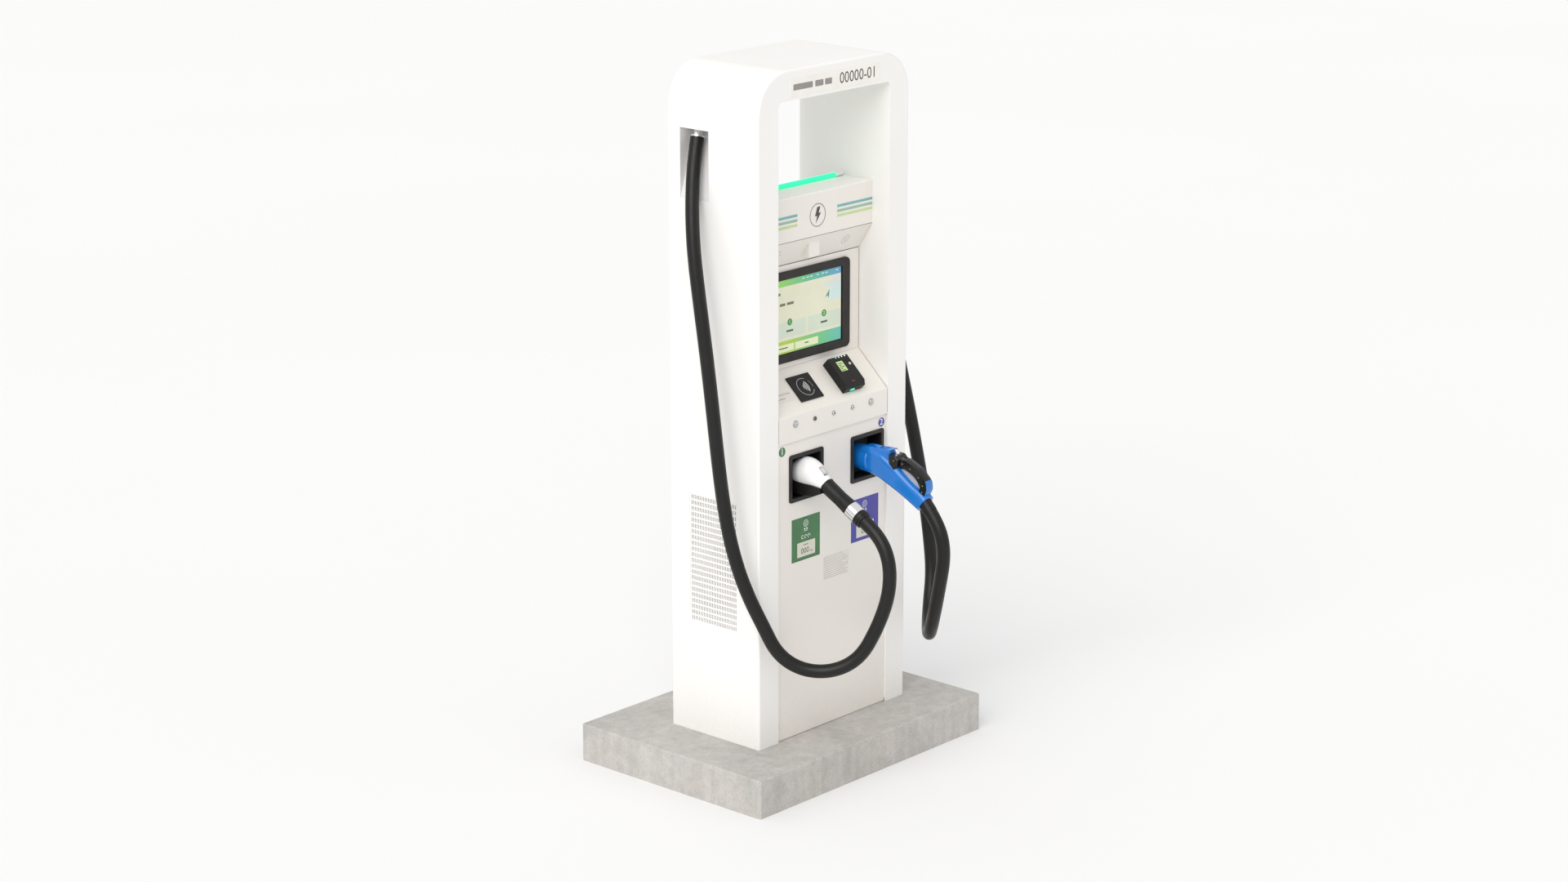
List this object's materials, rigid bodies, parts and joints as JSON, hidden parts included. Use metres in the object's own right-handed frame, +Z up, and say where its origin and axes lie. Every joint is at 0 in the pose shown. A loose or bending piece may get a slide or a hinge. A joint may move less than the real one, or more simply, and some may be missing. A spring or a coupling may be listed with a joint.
{
  "type": "ev charging post",
  "caption": "Free-standing vehicle charging post: portal-shaped steel shell on a cast plinth, sloping console, touch screen, and charging leads parked in front holsters",
  "frame": {"origin": "centre of the underside of the plinth", "axes": "+Z up, -Y to the front (console side), +X to the right seen from the front"},
  "size_m": [1.144, 1.0197, 2.408],
  "materials": {
    "concrete": "cast, slightly stained",
    "galvanised": "zinc coated",
    "shell_paint": "smooth satin powder coat",
    "panel_paint": "satin powder coat",
    "recess_paint": "satin powder coat",
    "filter_foam": "open foam",
    "chrome_plate": "polished",
    "brushed_steel": "brushed",
    "black_plastic": "fine grained",
    "bezel_plastic": "fine grained",
    "grey_plastic": "fine grained",
    "pale_plastic": "smooth",
    "white_plastic": "smooth",
    "blue_plastic": "smooth",
    "clear_plastic": "smooth",
    "light_green": "frosted, lit",
    "lcd_green": "smooth",
    "key_beige": "smooth",
    "screen_glass": "polished",
    "display": "lit panel",
    "label_vinyl": "printed vinyl",
    "grip_rubber": "fine grained",
    "cable_rubber": "smooth",
    "module_steel": "folded sheet",
    "switch_red": "smooth"
  },
  "bodies": {
    "cabinet": {"anchor_bolts": "galvanised", "arch_shell": "shell_paint", "base_plate": "galvanised", "button_barrels": "brushed_steel", "cable_glands": "chrome_plate", "camera_hood": "panel_paint", "card_reader_body": "black_plastic", "card_reader_window": "lcd_green", "charge_cable_left": "cable_rubber", "charge_cable_right": "cable_rubber", "console_housing": "panel_paint", "contactless_pad": "black_plastic", "contactors": "black_plastic", "display_module": "display", "door_hinges": "brushed_steel", "fan_housings": "black_plastic", "front_labels": "label_vinyl", "front_panel": "panel_paint", "header_fascia": "panel_paint", "holster_bezels": "bezel_plastic", "holster_sockets": "black_plastic", "id_plate": "label_vinyl", "inner_frame": "galvanised", "light_bar": "light_green", "light_bar_caps": "clear_plastic", "main_switch": "grey_plastic", "mounting_plate": "galvanised", "plinth": "concrete", "power_modules": "module_steel", "recess_pockets": "recess_paint", "screen_bezel": "bezel_plastic", "screen_glass": "screen_glass", "screen_panel": "panel_paint", "speakers": "black_plastic", "top_deck": "panel_paint", "vent_filters": "filter_foam", "vent_grilles": "shell_paint"},
    "connector_1": {"connector_1_boot": "grip_rubber", "connector_1_clamp": "chrome_plate", "connector_1_face": "black_plastic", "connector_1_grip": "grip_rubber", "connector_1_shell": "white_plastic"},
    "connector_1_latch": {"connector_1_latch": "grey_plastic"},
    "connector_2": {"connector_2_boot": "grip_rubber", "connector_2_face": "black_plastic", "connector_2_handle": "grip_rubber", "connector_2_shell": "blue_plastic"},
    "connector_2_trigger": {"connector_2_trigger": "pale_plastic"},
    "connector_2_release": {"connector_2_release": "pale_plastic"},
    "fan_lower": {"fan_rotor_lower": "black_plastic"},
    "fan_upper": {"fan_rotor_upper": "black_plastic"},
    "reader_key": {"card_reader_key": "key_beige"},
    "rear_door": {"rear_door": "shell_paint"},
    "door_handle": {"door_handle": "black_plastic"},
    "main_switch_knob": {"main_switch_knob": "switch_red"},
    "push_button_1": {"push_button_1": "brushed_steel"},
    "push_button_2": {"push_button_2": "brushed_steel"},
    "push_button_3": {"push_button_3": "brushed_steel"},
    "push_button_4": {"push_button_4": "brushed_steel"},
    "push_button_5": {"push_button_5": "brushed_steel"}
  },
  "joints": [
    {"name": "connector_1_slide", "type": "slide", "parent": "cabinet", "child": "connector_1", "axis": [0, -1, 0], "range_m": [0, 0.09], "deforming": ["charge_cable_left"]},
    {"name": "connector_1_latch_press", "type": "hinge", "parent": "connector_1", "child": "connector_1_latch", "pos_m": [-0.122, -0.2795, 1.073], "axis": [1, 0, 0], "range_deg": [0, 5], "stiffness_Nm_per_rad": 1.5},
    {"name": "connector_2_slide", "type": "slide", "parent": "cabinet", "child": "connector_2", "axis": [0, -1, 0], "range_m": [0, 0.09], "deforming": ["charge_cable_right"]},
    {"name": "connector_2_trigger_pull", "type": "hinge", "parent": "connector_2", "child": "connector_2_trigger", "pos_m": [0.189, -0.3575, 1.015], "axis": [1, 0, 0], "range_deg": [0, 5], "stiffness_Nm_per_rad": 3},
    {"name": "connector_2_release_press", "type": "slide", "parent": "connector_2", "child": "connector_2_release", "axis": [0, 0, -1], "range_m": [0, 0.004], "stiffness_N_per_m": 800},
    {"name": "fan_lower_spin", "type": "hinge", "parent": "cabinet", "child": "fan_lower", "pos_m": [-0.334, -0.013, 0.638], "axis": [1, 0, 0], "continuous": true},
    {"name": "fan_upper_spin", "type": "hinge", "parent": "cabinet", "child": "fan_upper", "pos_m": [-0.334, -0.013, 0.858], "axis": [1, 0, 0], "continuous": true},
    {"name": "reader_key_press", "type": "slide", "parent": "cabinet", "child": "reader_key", "axis": [0, 0.6785, -0.7346], "range_m": [0, 0.0012], "stiffness_N_per_m": 500},
    {"name": "rear_door_swing", "type": "hinge", "parent": "cabinet", "child": "rear_door", "pos_m": [0.279, 0.1855, 1.053], "axis": [0, 0, -1], "range_deg": [0, 110]},
    {"name": "door_handle_turn", "type": "hinge", "parent": "rear_door", "child": "door_handle", "pos_m": [-0.224, 0.1785, 1.053], "axis": [0, -1, 0], "range_deg": [0, 90]},
    {"name": "main_switch_turn", "type": "hinge", "parent": "cabinet", "child": "main_switch_knob", "pos_m": [0.011, 0.0955, 1.423], "axis": [0, 1, 0], "range_deg": [0, 90]},
    {"name": "push_button_1_press", "type": "slide", "parent": "cabinet", "child": "push_button_1", "axis": [0, 1, 0], "range_m": [0, 0.002], "stiffness_N_per_m": 600},
    {"name": "push_button_2_press", "type": "slide", "parent": "cabinet", "child": "push_button_2", "axis": [0, 1, 0], "range_m": [0, 0.002], "stiffness_N_per_m": 600},
    {"name": "push_button_3_press", "type": "slide", "parent": "cabinet", "child": "push_button_3", "axis": [0, 1, 0], "range_m": [0, 0.002], "stiffness_N_per_m": 600},
    {"name": "push_button_4_press", "type": "slide", "parent": "cabinet", "child": "push_button_4", "axis": [0, 1, 0], "range_m": [0, 0.002], "stiffness_N_per_m": 600},
    {"name": "push_button_5_press", "type": "slide", "parent": "cabinet", "child": "push_button_5", "axis": [0, 1, 0], "range_m": [0, 0.002], "stiffness_N_per_m": 600}
  ]
}
